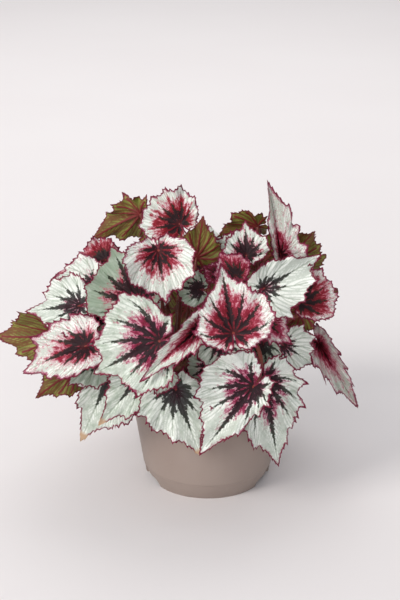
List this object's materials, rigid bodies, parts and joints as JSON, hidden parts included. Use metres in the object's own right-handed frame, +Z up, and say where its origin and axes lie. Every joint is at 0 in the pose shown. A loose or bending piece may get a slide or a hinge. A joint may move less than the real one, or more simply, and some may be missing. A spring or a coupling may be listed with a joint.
{
  "type": "potted rex begonia",
  "caption": "House plant with a dome of broad pointed leaves, silver with dark branching veins and red centres, on long stalks in a tapered round plastic pot.",
  "frame": {"origin": "middle of the plant's outline seen from above, at the level of the surface that the pot stands on", "axes": "+Z up, -Y towards the front of the plant, +X to its right"},
  "size_m": [0.3498, 0.3134, 0.3025],
  "materials": {
    "pot": "taupe, matt, finely grained",
    "soil": "dark crumbly peat mix, matt",
    "stalk": "reddish brown, fleshy, finely hairy",
    "leaf": "silver green with dark veins, red centre and purple edge, satin and quilted"
  },
  "bodies": {
    "root": {"pot": "pot", "soil": "soil", "crown_1": "stalk", "crown_2": "stalk", "crown_3": "stalk", "crown_4": "stalk", "crown_5": "stalk", "leaf_01": "leaf", "leaf_02": "leaf", "leaf_03": "leaf", "leaf_04": "leaf", "leaf_05": "leaf", "leaf_06": "leaf", "leaf_07": "leaf", "leaf_08": "leaf", "leaf_09": "leaf", "leaf_10": "leaf", "leaf_11": "leaf", "leaf_12": "leaf", "leaf_13": "leaf", "leaf_14": "leaf", "leaf_15": "leaf", "leaf_16": "leaf", "leaf_17": "leaf", "leaf_18": "leaf", "leaf_19": "leaf", "leaf_20": "leaf", "leaf_21": "leaf", "leaf_22": "leaf", "leaf_23": "leaf", "leaf_24": "leaf", "leaf_25": "leaf", "leaf_26": "leaf", "leaf_27": "leaf", "leaf_28": "leaf", "leaf_29": "leaf", "leaf_30": "leaf", "leaf_31": "leaf", "leaf_32": "leaf", "leaf_33": "leaf", "leaf_34": "leaf", "leaf_35": "leaf", "leaf_36": "leaf", "leaf_37": "leaf", "leaf_38": "leaf", "leaf_39": "leaf", "leaf_40": "leaf", "leaf_41": "leaf", "leaf_42": "leaf", "leaf_43": "leaf", "leaf_44": "leaf", "leaf_45": "leaf", "leaf_46": "leaf", "leaf_47": "leaf", "leaf_48": "leaf", "leaf_49": "leaf", "leaf_50": "leaf", "leaf_51": "leaf", "leaf_52": "leaf", "leaf_53": "leaf"}
  },
  "joints": []
}
